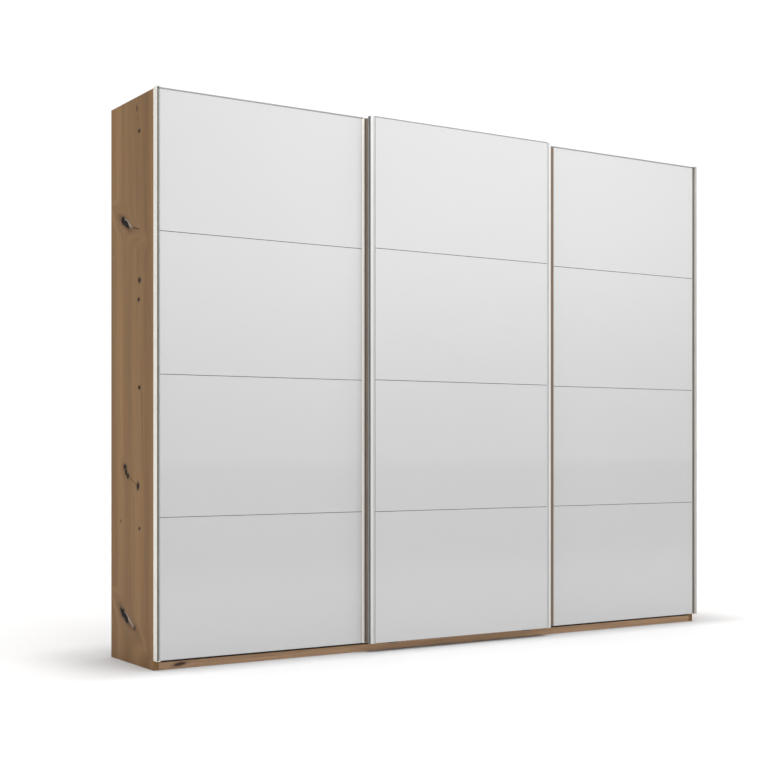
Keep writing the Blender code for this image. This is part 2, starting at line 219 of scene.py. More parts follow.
class Knot(NamedTuple):
    """A knot, crack or pale split in a board: its place across and along the grain, its half width
    and half length, the degrees its long axis leans from the grain, and how strong it is."""
    across: float
    along: float
    width: float
    length: float
    lean: float = 0.0
    strength: float = 1.0
    pale: bool = False

    def radius(self, nodes, across, along, wobble):
        """Distance from the knot's centre in units of its own size, made irregular by wobble."""
        aside = nodes.minus(across, self.across)
        ahead = nodes.minus(along, self.along)
        lean = math.radians(self.lean)
        cos, sin = math.cos(lean), math.sin(lean)
        side = nodes.minus(nodes.times(aside, cos), nodes.times(ahead, sin))
        length = nodes.plus(nodes.times(aside, sin), nodes.times(ahead, cos))
        side = nodes.math("DIVIDE", side, self.width)
        length = nodes.math("DIVIDE", length, self.length)
        square = nodes.plus(nodes.times(side, side), nodes.times(length, length))
        return nodes.plus(nodes.math("SQRT", square), wobble)


def oak_material(name, low, high, grain, face, knots=(), seed=0.0, tone=OUTER_TONE,
                 painted_light_middle=0.0):
    """Oak decor on the board between low and high. grain and face are the axes along and across
    the grain, as 0, 1 or 2 for x, y or z."""
    nodes = Nodes(name)
    place = nodes.place()
    along, across = place[grain], place[face]
    through = place[3 - grain - face]

    slow = nodes.combine(nodes.plus(across, seed), through, nodes.times(along, 0.35))
    wobble = nodes.times(nodes.minus(nodes.noise(slow, 42.0), 0.5), 1.5)
    bent, cores, rings, splits = [across], [], [], []
    for knot in knots:
        radius = knot.radius(nodes, across, along, wobble)
        inside = nodes.smooth(radius, 1.15, 0.80, 0.0, knot.strength)
        (splits if knot.pale else cores).append(inside)
        rings.append(nodes.smooth(radius, 2.2, 0.9, 0.0, knot.strength))
        if knot.width > CRACK_WIDTH:
            pull = nodes.smooth(radius, 6.0, 0.6, 0.0, -0.75)
            bent.append(nodes.times(pull, nodes.minus(across, knot.across)))

    drift = nodes.noise(slow, 2.2, 2.0)
    flow = nodes.plus(nodes.chain("ADD", bent), nodes.times(drift, 0.055))
    flow = nodes.plus(flow, seed)
    stretched = nodes.combine(flow, through, nodes.times(along, 0.022))
    bands = nodes.noise(stretched, 9.0, 2.0)
    streaks = nodes.noise(stretched, 62.0, 5.0, 0.62)
    fine = nodes.noise(stretched, 300.0, 3.0, 0.6)
    pore_place = nodes.combine(flow, through, nodes.times(along, 0.045))
    pores = nodes.smooth(nodes.noise(pore_place, 620.0, 2.0), 0.60, 0.72)

    parts = [nodes.times(bands, 0.50), nodes.times(streaks, 0.36), nodes.times(fine, 0.14)]
    value = nodes.chain("ADD", parts)
    colour = nodes.ramp(value, ((0.36, OAK_DARK), (0.50, OAK_MIDDLE), (0.64, OAK_LIGHT)))
    colour = nodes.mix(nodes.times(pores, 0.32), colour, KNOT_RING)
    height = nodes.minus(nodes.times(streaks, 0.5), pores)
    rough = nodes.smooth(streaks, 0.3, 0.7, 0.50, 0.62)

    if knots:
        core = nodes.chain("MAXIMUM", cores)
        halo = nodes.times(nodes.chain("MAXIMUM", rings), nodes.smooth(fine, 0.35, 0.6, 0.45, 0.85))
        colour = nodes.mix(halo, colour, KNOT_RING)
        for split in splits:
            colour = nodes.mix(split, colour, SPLIT_GREY)
        colour = nodes.mix(core, colour, KNOT_BLACK)
        height = nodes.minus(height, nodes.times(core, 2.0))
        rough = nodes.plus(rough, nodes.times(core, 0.15))

    edge = nodes.edge_distance(low, high)
    wear = nodes.times(nodes.smooth(edge, EDGE_WEAR, EDGE_WEAR / 4), nodes.smooth(fine, 0.35, 0.6))
    colour = nodes.mix(nodes.times(wear, 0.35), colour, OAK_LIGHT)
    joint = nodes.math("COMPARE", edge, BAND_JOINT)
    joint.node.inputs[2].default_value = BAND_JOINT_HALF
    colour = nodes.mix(nodes.times(joint, 0.45), colour, KNOT_RING)
    colour = nodes.mix(1.0, colour, tone, "MULTIPLY")
    # painted light: paler in the middle, where the centre door's overhang shades the plinth
    if painted_light_middle:
        middle = nodes.smooth(nodes.math("ABSOLUTE", along), *PAINTED_LIGHT_MIDDLE_FADE, 1.0, painted_light_middle)
        colour = nodes.mix(1.0, colour, nodes.combine(middle, middle, middle), "MULTIPLY")
    nodes.bump(height, 0.00022, 0.6)
    return nodes.finish(colour, rough, Specular_IOR_Level=OAK_SPECULAR)


def side_knots(depth_low, depth_high):
    """The left side's knots and cracks: share of the depth from the front, height, half width, half
    length, lean, strength and, where it is a pale split, True."""
    rows = (
        (0.370, 2.069, 0.0045, 0.0130, 15, 0.70),
        (0.355, 2.035, 0.0035, 0.0080, 0, 0.45),
        (0.315, 1.980, 0.0085, 0.0060, 0, 0.90),
        (0.660, 1.658, 0.0125, 0.0480, 62, 1.00),
        (0.695, 1.672, 0.0140, 0.0120, 0, 1.00),
        (0.575, 1.653, 0.0060, 0.0450, 62, 1.00, True),
        (0.400, 1.625, 0.0030, 0.0300, 75, 0.55),
        (0.358, 1.527, 0.0010, 0.0800, 2, 0.50),
        (0.314, 1.428, 0.0120, 0.0090, 0, 1.00),
        (0.332, 1.357, 0.0095, 0.0065, 0, 1.00),
        (0.370, 1.319, 0.0009, 0.0300, 0, 0.50),
        (0.262, 0.969, 0.0012, 0.1900, 3, 0.65),
        (0.314, 1.031, 0.0095, 0.0065, 0, 1.00),
        (0.657, 0.735, 0.0150, 0.0100, 0, 1.00),
        (0.633, 0.716, 0.0100, 0.0140, 20, 1.00),
        (0.585, 0.701, 0.0100, 0.0090, 0, 1.00),
        (0.465, 0.684, 0.0016, 0.0450, 66, 0.50),
        (0.346, 0.666, 0.0105, 0.0115, 0, 1.00),
        (0.314, 0.509, 0.0080, 0.0050, 0, 0.85),
        (0.756, 0.529, 0.0060, 0.0040, 0, 0.50),
        (0.665, 0.172, 0.0125, 0.0500, 60, 1.00),
        (0.700, 0.187, 0.0130, 0.0110, 0, 1.00),
        (0.555, 0.162, 0.0060, 0.0520, 60, 1.00, True),
        (0.430, 0.135, 0.0120, 0.0080, 0, 0.60),
    )
    depth = depth_high - depth_low
    return [Knot(depth_low + share * depth, *rest) for share, *rest in rows]


def random_knots(rng, low, high, grain, face, count):
    """A few small knots and one long crack, anywhere on a board."""
    knots = []
    for index in range(count):
        across = rng.uniform(low[face], high[face])
        along = rng.uniform(low[grain], high[grain])
        width = rng.uniform(0.0045, 0.0095)
        length = width * rng.uniform(1.2, 2.2)
        lean, strength = rng.uniform(-40, 40), rng.uniform(0.7, 1.0)
        knots.append(Knot(across, along, width, length, lean, strength))
        if index == 0:
            knots.append(Knot(across, along + 0.10, 0.0010, 0.11, rng.uniform(-4, 4), 0.6))
    return knots


# ======== other materials
GLASS_DARKER = (0.539, 0.541, 0.543)
GLASS_PALER = (0.565, 0.565, 0.565)
GLASS_EDGE = (0.460, 0.480, 0.465)
PROFILE = (0.870, 0.835, 0.775)
PROFILE_SHADE = (0.810, 0.770, 0.705)
TAUPE = (0.320, 0.265, 0.220)
TAUPE_SHADE = (0.260, 0.214, 0.176)
# painted light: the fins' inner webs, paler than the profile to offset the shade inside their grip
# channels
FIN_INSIDE_PAINTED_LIGHT = (0.970, 0.955, 0.930)
# painted shade: a dark strip on the left fin's tip
FIN_TIP_PAINTED_SHADE = (0.120, 0.122, 0.118)
ZONE_SHADE = 0.85  # a zone's darker patches, as a share of its colour
# painted shade: a near-black strip on the outer doors' inner profiles, beside the cream bead
GROOVE_PAINTED_SHADE = (0.050, 0.040, 0.032)
LIP_FRONT = (0.640, 0.636, 0.628)
# painted shade: the centre door profile's recesses and ends, greyer than its lips
LIP_RECESS_PAINTED_SHADE = (0.520, 0.518, 0.512)
LIP_SIDE_PAINTED_SHADE = (0.500, 0.498, 0.490)
PROFILE_ROUGHNESS = 0.34
RAW_FIBRE = 0.62  # a raw board's dark fibres, as a share of its colour


def glass_material():
    """White lacquered glass: a gloss front, a faint unevenness, and greenish edges."""
    nodes = Nodes("white_glass")
    x, y, z = nodes.place()
    broad = nodes.noise(nodes.combine(x, y, z), 1.3, 2.0)
    smear = nodes.noise(nodes.combine(x, y, nodes.times(z, 0.35)), 11.0, 4.0, 0.6, 1.2)
    colour = nodes.mix(broad, GLASS_DARKER, GLASS_PALER)
    front = nodes.math("ABSOLUTE", nodes.facing()[1])
    colour = nodes.mix(nodes.smooth(front, 0.95, 0.55), colour, GLASS_EDGE)
    nodes.bump(broad, 0.0003, 0.25)
    return nodes.finish(colour, nodes.smooth(smear, 0.3, 0.75, 0.025, 0.070), IOR=1.52,
                        Specular_IOR_Level=0.62, Coat_Weight=0.6, Coat_Roughness=0.02)


def coated_material(name, colour, shade, roughness, grain=1500.0, depth=0.00003, zones=()):
    """Powder coat or moulded plastic: a fine pebbled skin with slightly uneven colour. A zone is
    another colour and, for some axes, the two places between which it lies."""
    nodes = Nodes(name)
    axes = nodes.place()
    place = nodes.combine(*axes)
    pebble = nodes.noise(place, grain, 2.0)
    cloud = nodes.noise(place, 6.0, 3.0, 0.55)
    mixed = nodes.mix(cloud, shade, colour)
    for zone, limits in zones:
        inside = 1.0
        for axis, (low, high) in limits.items():
            above = nodes.math("GREATER_THAN", axes[axis], low)
            below = nodes.math("LESS_THAN", axes[axis], high)
            inside = nodes.times(nodes.times(above, below), inside)
        zone_shade = tuple(ZONE_SHADE * channel for channel in zone)
        mixed = nodes.mix(inside, mixed, nodes.mix(cloud, zone_shade, zone))
    nodes.bump(pebble, depth, 0.6)
    return nodes.finish(mixed, nodes.smooth(pebble, 0.3, 0.7, roughness - 0.06, roughness + 0.08))


def metal_material(name, colour, shade, roughness, axis=None):
    """Zinc plate in soft patches, or metal brushed along an axis."""
    nodes = Nodes(name)
    place = list(nodes.place())
    if axis is not None:
        place[axis] = nodes.times(place[axis], 0.01)
    lines = nodes.noise(nodes.combine(*place), 900.0, 3.0, 0.6)
    cloud = nodes.noise(nodes.combine(*nodes.place()), 60.0, 3.0, 0.6)
    factor = nodes.plus(nodes.times(lines, 0.5), nodes.times(cloud, 0.5))
    nodes.bump(lines, 0.00002, 0.5)
    mixed = nodes.mix(factor, shade, colour)
    rough = nodes.smooth(factor, 0.3, 0.7, roughness - 0.08, roughness + 0.12)
    return nodes.finish(mixed, rough, Metallic=1.0)


def board_material(name, colour, shade, raw_back=None):
    """Melamine or painted hardboard with a linen emboss. raw_back colours the face towards +Y."""
    nodes = Nodes(name)
    x, y, z = nodes.place()
    level = nodes.noise(nodes.combine(nodes.times(x, 0.06), y, z), 700.0)
    upright = nodes.noise(nodes.combine(x, y, nodes.times(z, 0.06)), 700.0)
    weave = nodes.plus(level, upright)
    cloud = nodes.noise(nodes.combine(x, y, z), 5.0, 4.0, 0.6)
    mixed = nodes.mix(cloud, shade, colour)
    mixed = nodes.mix(nodes.smooth(weave, 0.85, 1.2, 0.0, 0.22), mixed, shade)
    if raw_back:
        fibres = nodes.noise(nodes.combine(x, y, z), 260.0, 6.0, 0.75, 2.0)
        raw = nodes.mix(fibres, tuple(RAW_FIBRE * channel for channel in raw_back), raw_back)
        mixed = nodes.mix(nodes.smooth(nodes.facing()[1], 0.3, 0.7), mixed, raw)
    nodes.bump(weave, 0.00006, 0.5)
    return nodes.finish(mixed, nodes.smooth(cloud, 0.2, 0.8, 0.5, 0.66))


# name, colour, its darker patches, roughness, and where they differ the skin's grain and depth
COATED = (
    ("profile", PROFILE, PROFILE_SHADE, PROFILE_ROUGHNESS),
    ("profile_cap", (0.27, 0.27, 0.268), (0.22, 0.22, 0.218), 0.40),
    ("grip_liner", (0.360, 0.358, 0.350), (0.300, 0.298, 0.292), 0.50),
    ("taupe_strip", TAUPE, TAUPE_SHADE, 0.50),
    # painted shadow and reflection: the dark brown strip on the right door's glass
    ("rub_strip", (0.190, 0.127, 0.082), (0.155, 0.104, 0.067), 0.50),
    # near-black: painted shade in the left fin's channel, much darker than the right door's liner
    ("left_fin_liner", (0.085, 0.090, 0.086), (0.065, 0.069, 0.066), 0.50),
    ("right_fin_liner", (0.200, 0.168, 0.142), (0.160, 0.134, 0.113), 0.50),
    ("seam_gasket", (0.060, 0.060, 0.060), (0.035, 0.035, 0.035), 0.65),
    ("nylon", (0.085, 0.085, 0.090), (0.055, 0.055, 0.058), 0.45, 900.0),
    ("rubber", (0.040, 0.040, 0.040), (0.022, 0.022, 0.022), 0.75, 700.0),
    ("ivory_plastic", (0.62, 0.58, 0.50), (0.52, 0.48, 0.41), 0.42, 900.0),
    ("guide_rail", (0.050, 0.047, 0.043), (0.030, 0.028, 0.026), 0.50),
    ("support_foot", (0.055, 0.050, 0.046), (0.030, 0.028, 0.026), 0.65, 400.0, 0.00012),
)
# name, colour, its darker patches, roughness, and the axis a brushed metal's lines run along
METALS = (
    ("aluminium_track", (0.80, 0.80, 0.81), (0.58, 0.58, 0.60), 0.34, 0),
    ("steel", (0.66, 0.67, 0.69), (0.40, 0.41, 0.44), 0.36),
    ("rail_chrome", (0.78, 0.78, 0.79), (0.62, 0.62, 0.64), 0.22, 1),
)
# name, colour, its darker patches, and the colour of a raw back
BOARDS = (
    ("door_board", (0.74, 0.73, 0.70), (0.66, 0.65, 0.62)),
    ("back_board", (0.64, 0.62, 0.58), (0.56, 0.54, 0.50), (0.46, 0.375, 0.285)),
)
MATERIALS = {"white_glass": glass_material()}
for make, rows in ((coated_material, COATED), (metal_material, METALS), (board_material, BOARDS)):
    for row in rows:
        MATERIALS[row[0]] = make(*row)


# ======== dressing the CAD
def paint(node, material):
    """Gives a CAD node one material."""
    data = frame["nodes"][node].data
    data.materials.clear()
    data.materials.append(material)


def between(a, b):
    """A zone's two places along an axis, the lower one first."""
    return (min(a, b), max(a, b))


def stile_edge(door, side):
    """The box of a door's edge profile, and the place of the door's end at that side."""
    low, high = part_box(f"{door}_{side}_stile")
    return low, high, low.x if side == "left" else high.x


def paint_profile(door, side, name, colour, shade, zones):
    """Gives a door's edge profile its own coat, with zones in other colours."""
    paint(f"{door}_{side}_stile",
          coated_material(name, colour, shade, PROFILE_ROUGHNESS, zones=zones))


def paint_stiles():
    """Edge profiles in more than one tone: the centre door's lips, with painted shade on their
    recesses and ends, the fins with painted light on their insides and painted shade on the left
    fin's tip, and a taupe field beside each cream bead with a near-black strip of painted shade
    along the bead."""
    for side, sign in SIDES:
        low, _, end = stile_edge("centre_door", side)
        # painted shade on the centre door profile's recesses and ends
        recess = {1: (low.y + LIP_END, low.y + RECESS_END)}
        ends = {0: between(end + sign * 0.001, end - sign * 0.0004)}
        paint_profile("centre_door", side, f"centre_{side}_profile", LIP_FRONT, LIP_FRONT,
                      [(LIP_RECESS_PAINTED_SHADE, recess), (LIP_SIDE_PAINTED_SHADE, ends)])

        end = sign * cad_high.x
        # painted light on the fin's inner web
        web = {0: between(end - sign * (FIN_WALL - 0.0004), end - sign * (FIN_WALL + 0.0004))}
        zones = [(FIN_INSIDE_PAINTED_LIGHT, web)]
        if side == "left":
            # painted shade on the left fin's tip
            tip = {0: (end + 0.0014, end + FIN_WALL + 0.0004), 1: (cad_low.y, FRONT - FIN_TIP_END)}
            zones.append((FIN_TIP_PAINTED_SHADE, tip))
        door = side + "_door"
        paint_profile(door, side, door + "_fin_profile", PROFILE, PROFILE_SHADE, zones)

    for door, side, sign in INNER_EDGES:
        end = stile_edge(door, side)[2]
        field = {0: between(end + sign * 0.001, end - sign * BEAD_START)}
        # painted shade in a strip beside the bead
        groove = {0: between(end - sign * (BEAD_START - 0.0045), end - sign * BEAD_START)}
        paint_profile(door, side, f"{door}_inner_profile", PROFILE, PROFILE_SHADE,
                      [(TAUPE, field), (GROOVE_PAINTED_SHADE, groove)])


def oak_axes(node):
    """Axes along and across the grain: upright boards run up, the others run along x."""
    if "side_panel" in node or "divider" in node:
        return 2, 1
    return 0, 2 if node == "front_plinth" else 1


def oak_tone(node):
    """The plinth is paler than the side panels as painted light against the shade of the doors'
    overhang; the inside is paler too.
    """
    if node == "front_plinth":
        return PLINTH_PAINTED_LIGHT_TONE
    return OUTER_TONE if "side_panel" in node else INNER_TONE


def dress_cad():
    """Gives every CAD node the look of its slot, and each oak board its own grain and knots."""
    rng = random.Random(OAK_SEED)
    slots = {row["node"]: row["material_slot"] for row in frame["record"]["subparts"]}
    for node, slot in slots.items():
        if slot != "oak_board":
            paint(node, MATERIALS[slot])
            continue
        low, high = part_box(node)
        grain, face = oak_axes(node)
        if node == "left_side_panel":
            knots = side_knots(low.y, high.y)
        elif node == "front_plinth":
            knots = [Knot(low.z + 0.016, low.x + 0.085, 0.0065, 0.026, 8, 0.75)]
        else:
            knots = random_knots(rng, low, high, grain, face, 7 if grain == 2 else 4)
        tone = oak_tone(node)
        # painted light on the plinth under the centre door
        middle = PLINTH_MIDDLE_PAINTED_LIGHT if node == "front_plinth" else 0.0
        paint(node, oak_material("oak_" + node, low, high, grain, face, knots,
                                 rng.uniform(1, 9), tone, middle))
    for side, _ in SIDES:
        paint("hanging_rail_" + side, MATERIALS["rail_chrome"])
    paint_stiles()


def round_edges(node, width):
    """Rounds a CAD piece's edges for the eye; its own mesh stays as it is."""
    obj = frame["nodes"][node]
    weld = obj.modifiers.new("weld", "WELD")
    weld.merge_threshold = 0.00002
    bevel = obj.modifiers.new("round", "BEVEL")
    bevel.width = width
    bevel.segments = 2
    bevel.limit_method = "ANGLE"
    bevel.angle_limit = math.radians(30.0)
    bevel.harden_normals = True


# ======== mesh helpers
class Shape:
    """Gathers boards, turned parts and extrusions into one piece."""

    def __init__(self):
        self.bm = bmesh.new()

    def bevel(self, edges, width):
        bmesh.ops.bevel(self.bm, geom=list(edges), offset=width, segments=2, profile=0.5,
                        affect="EDGES", clamp_overlap=True)

    def board(self, low, high, edge):
        low, high = Vector(low), Vector(high)
        size = Matrix.Diagonal((high - low).to_4d())
        made = bmesh.ops.create_cube(self.bm, matrix=Matrix.Translation((low + high) / 2) @ size)
        self.bevel({e for v in made["verts"] for e in v.link_edges}, edge)

    def turn(self, outline, centre, axis, steps=20, ring=False):
        """Turns (radius, along) points about an axis; a zero radius makes a pole, and ring closes
        the outline on itself."""
        turned = {"X": lambda r, s, c: (s, r, c), "Y": lambda r, s, c: (r, s, c),
                  "Z": lambda r, s, c: (r, c, s)}[axis]
        rings = []
        for radius, along in outline:
            count = steps if radius > 0.0 else 1
            rings.append([self.bm.verts.new(Vector(centre) + Vector(turned(
                radius * math.cos(2 * math.pi * i / steps), along,
                radius * math.sin(2 * math.pi * i / steps)))) for i in range(count)])
        pairs = list(zip(rings, rings[1:])) + ([(rings[-1], rings[0])] if ring else [])
        for a, b in pairs:
            for i in range(steps):
                j = i + 1
                corners = [a[i % len(a)], a[j % len(a)], b[j % len(b)], b[i % len(b)]]
                self.bm.faces.new(list(dict.fromkeys(corners)))

    def extrude(self, outline, place, start, end, edge=0.0):
        """Extrudes (u, v) points; place(u, v, t) is the point in the part's frame."""
        near = [self.bm.verts.new(place(u, v, start)) for u, v in outline]
        far = [self.bm.verts.new(place(u, v, end)) for u, v in outline]
        count = len(outline)
        faces = [self.bm.faces.new(near), self.bm.faces.new(far)]
        for i in range(count):
            j = (i + 1) % count
            faces.append(self.bm.faces.new((near[i], near[j], far[j], far[i])))
        if edge:
            self.bevel({e for face in faces for e in face.edges}, edge)

    def piece(self, name, material, body, slot, *replaced):
        """Makes the shape an object that rides on a body, in place of the replaced CAD nodes."""
        bmesh.ops.recalc_face_normals(self.bm, faces=self.bm.faces)
        mesh = bpy.data.meshes.new(name)
        self.bm.to_mesh(mesh)
        self.bm.free()
        mesh.shade_smooth()
        mesh.set_sharp_from_angle(angle=math.radians(38.0))
        mesh.materials.append(MATERIALS[material])
        obj = bpy.data.objects.new(name, mesh)
        bpy.context.collection.objects.link(obj)
        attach(obj, body)
        if replaced:
            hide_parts(*replaced)


def in_plan(u, v, t):
    """Outline in plan, extruded up."""
    return Vector((u, v, t))


def in_section(u, v, t):
    """Outline in a section across the wardrobe, extruded along X."""
    return Vector((t, u, v))


def extruded(outline, place, start, end, edge=0.0):
    """A shape that is one extrusion."""
    shape = Shape()
    shape.extrude(outline, place, start, end, edge)
    return shape


def directed(outline, sign):
    """A turned part's (radius, along) points, facing the other way where sign is negative."""
    return [(radius, sign * place) for radius, place in outline]


def symmetric(outline):
    """An outline from one end to the middle of a turned part, and mirrored on to its other end."""
    return outline + directed(reversed(outline), -1)


def spread(start, end, count):
    """Evenly spaced places from start to end."""
    return [start + (end - start) * index / (count - 1) for index in range(count)]


def pan_head(radius, height):
    """Outline of a round screw head with a recess, from its foot to the middle of its top."""
    bowl = [(radius, 0.0)]
    for step in range(1, 5):
        angle = math.radians(18.0 * step)
        bowl.append((radius * math.cos(angle), height * math.sin(angle)))
    bowl += [(radius * 0.30, height), (radius * 0.24, height * 0.45), (0.0, height * 0.40)]
    return [(0.0, -0.0001)] + bowl


# ======== doors
LIP_HEIGHT = 0.0045  # how far a door's top trim comes down over the glass
LIP_THICK = 0.0006
SEAM_RECESS = 0.0007
CAP_GAP = 0.0001
CAP_THICK = 0.0008
CHANNEL_STEP = 0.0022  # from a door's face back to the recess in its edge profile
FIN_LINER_START = 0.0033  # of a fin's channel liner, from the door's end
FIN_LINER_END = 0.0152
FIN_LINER_THICK = 0.0009
FIN_LINER_RIBS = 5
GRIP_FLOOR = 0.0100  # of the centre door's finger channel, from the door's end
GRIP_BACK = 0.0184  # the channel's far wall, from the door's face
GRIP_DEPTH = 0.0206  # of the centre door's edge profile, from its face
LINER_THICK = 0.0006
LINER_CORNER = 0.0012
SEAL_START = 0.0014  # of a brush seal's base, from the door's end
SEAL_END = 0.0074
SEAL_THICK = 0.0014
SEAL_TUFTS = 150
SEAL_SEED = 7
BEAD_THICK = 0.0010
# a dark strip standing in for the centre door's shadow and reflection on the right door's glass
SHADOW_STRIP_GAP = 0.0270  # from the closed centre door's edge
SHADOW_STRIP_WIDTH = 0.0195
SHADOW_STRIP_STEPS = 6


def door_faces(door):
    """The door's glass face, its board's back, and the box of its lowest pane."""
    low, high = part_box(door + "_glass_1")
    return low.y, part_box(door + "_board")[1].y, low, high


def add_seams(door):
    """A dark gasket between each pane and the next, a little behind the face and hollowed."""
    face, _, low, high = door_faces(door)
    for index in (1, 2, 3):
        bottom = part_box(f"{door}_glass_{index}")[1].z + 0.00005
        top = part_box(f"{door}_glass_{index + 1}")[0].z - 0.00005
        front = face + SEAM_RECESS
        back = high.y
        outline = [(back, bottom), (back, top), (front, top)]
        for step in range(1, 4):
            angle = math.pi * step / 4
            outline.append((front + 0.0004 * math.sin(angle), top + (bottom - top) * step / 4))
        outline.append((front, bottom))
        shape = extruded(outline, in_section, low.x, high.x)
        shape.piece(f"{door}_seam_{index}", "seam_gasket", door, "nylon")


def add_top_trim(door):
    """An angle trim over the door's head, with a short lip down in front of the glass."""
    face, back, low, high = door_faces(door)
    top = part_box(door + "_glass_4")[1].z
    under = top + CLEAR
    over = under + LIP_THICK
    lip = LIP_HEIGHT if door != "centre_door" else 0.65 * LIP_HEIGHT
    inside = face - CLEAR
    outside = inside - LIP_THICK
    outline = [(back, under), (inside, under), (inside, top - lip), (outside, top - lip),
               (outside, over), (back, over)]
    shape = extruded(outline, in_section, low.x + 0.0005, high.x - 0.0005, 0.00015)
    shape.piece(door + "_top_trim", "profile_cap", door, "profile")


def add_profile_caps(door):
    """Thin plastic plates that close the ends of the edge profiles."""
    for side, _ in SIDES:
        low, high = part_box(f"{door}_{side}_stile")
        for end, start in (("top", high.z + CAP_GAP), ("bottom", low.z - CAP_GAP - CAP_THICK)):
            shape = Shape()
            shape.board((low.x + CLEAR, low.y + CLEAR, start),
                        (high.x - CLEAR, high.y - CLEAR, start + CAP_THICK), 0.0003)
            shape.piece(f"{door}_{side}_{end}_cap", "profile", door, "profile")


def add_fin_liner(side, sign):
    """A soft ribbed liner on the floor of the grip channel, between the fin and the glass; the left
    door's is near-black, painted shade in its channel.
    """
    door = side + "_door"
    low, high, edge = stile_edge(door, side)
    near, far = edge - sign * FIN_LINER_START, edge - sign * FIN_LINER_END
    floor = door_faces(door)[0] + CHANNEL_STEP - CLEAR
    front = floor - FIN_LINER_THICK
    outline = [(near, floor), (far, floor)]
    for step in range(2 * FIN_LINER_RIBS + 1):
        share = step / (2 * FIN_LINER_RIBS)
        outline.append((far + (near - far) * share, front + (0.0003 if step % 2 else 0.0)))
    shape = extruded(outline, in_plan, low.z + 0.0006, high.z - 0.0006)
    shape.piece(f"{door}_{side}_fin_liner", side + "_fin_liner", door, "profile")


def add_grip_liner(side, sign):
    """A U-shaped liner in the centre door's finger channel."""
    low, high, edge = stile_edge("centre_door", side)
    mouth = edge - sign * 0.0008
    floor = edge - sign * (GRIP_FLOOR - CLEAR)
    inside = floor + sign * LINER_THICK
    corner = inside + sign * LINER_CORNER
    front, back = low.y + CHANNEL_STEP + CLEAR, low.y + GRIP_BACK - CLEAR
    front_inside, back_inside = front + LINER_THICK, back - LINER_THICK
    outline = [(mouth, front), (floor, front), (floor, back), (mouth, back), (mouth, back_inside),
               (corner, back_inside), (inside, back_inside - LINER_CORNER),
               (inside, front_inside + LINER_CORNER), (corner, front_inside), (mouth, front_inside)]
    shape = extruded(outline, in_plan, low.z + 0.0006, high.z - 0.0006)
    shape.piece(f"centre_door_{side}_grip_liner", "grip_liner", "centre_door", "profile")


def add_brush_seal(door, side, sign):
    """A pile seal on the inner edge of an outer door, which reaches to the centre door's back."""
    low, high, edge = stile_edge(door, side)
    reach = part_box("centre_door_left_stile")[0].y + GRIP_DEPTH + 0.0022
    near, far = edge - sign * SEAL_START, edge - sign * SEAL_END
    start = low.y - CLEAR
    foot = [(near, start), (far, start), (far, start - SEAL_THICK), (near, start - SEAL_THICK)]
    base = extruded(foot, in_plan, low.z + 0.001, high.z - 0.001, 0.0002)
    base.piece(f"{door}_seal_base", "taupe_strip", door, "profile")
    rng = random.Random(SEAL_SEED)
    middle = (near + far) / 2
    root = start - SEAL_THICK - 0.0001
    height = high.z - low.z - 0.004
    pile = Shape()
    for index in range(SEAL_TUFTS):
        bottom = low.z + 0.002 + height * index / SEAL_TUFTS
        lean = rng.uniform(-0.0006, 0.0006)
        tip = reach + rng.uniform(0.0, 0.0010)
        outline = [(middle - 0.0016, root), (middle + 0.0016, root),
                   (middle + 0.0022 + lean, tip), (middle - 0.0022 + lean, tip)]
        pile.extrude(outline, in_plan, bottom + 0.0002, bottom + height / SEAL_TUFTS - 0.0002)
    pile.piece(f"{door}_seal_pile", "taupe_strip", door, "profile")


def add_inner_bead(door, side, sign):
    """A slim cream bead that covers the joint between the glass and the inner edge profile."""
    low, high, edge = stile_edge(door, side)
    back = low.y - CLEAR
    front = back - BEAD_THICK
    near, far = edge - sign * BEAD_START, edge - sign * BEAD_END
    outline = [(near, back), (far, back), (far, back - 0.0004), (far + sign * 0.0010, front),
               (near - sign * 0.0010, front), (near, back - 0.0006)]
    shape = extruded(outline, in_plan, low.z + 0.0008, high.z - LIP_HEIGHT - 0.0004)
    shape.piece(door + "_inner_bead", "profile", door, "profile")


def add_shadow_strip():
    """A soft domed dark brown strip on the right door's glass, just past the closed centre door's
    edge: painted shadow and reflection of that edge.
    """
    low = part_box("right_door_glass_1")[0]
    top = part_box("right_door_glass_4")[1].z - LIP_HEIGHT - 0.0004
    back = low.y - CLEAR
    half = SHADOW_STRIP_WIDTH / 2
    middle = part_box("centre_door_right_stile")[1].x + SHADOW_STRIP_GAP + half
    outline = [(middle + half, back), (middle - half, back)]
    for step in range(SHADOW_STRIP_STEPS + 1):
        share = 2.0 * step / SHADOW_STRIP_STEPS - 1.0
        outline.append((middle + share * half, back - 0.0005 - 0.0010 * (1.0 - share * share)))
    shape = extruded(outline, in_plan, low.z + 0.0008, top)
    shape.piece("right_door_shadow_strip", "rub_strip", "right_door", "profile")


# ======== running gear
SCREW_RADIUS = 0.0040
SCREW_HEIGHT = 0.0018
GROOVE_DEPTH = 0.0025  # of a wheel's tyre
RACE_RECESS = 0.0016  # of a wheel's bearing, behind the tyre's side


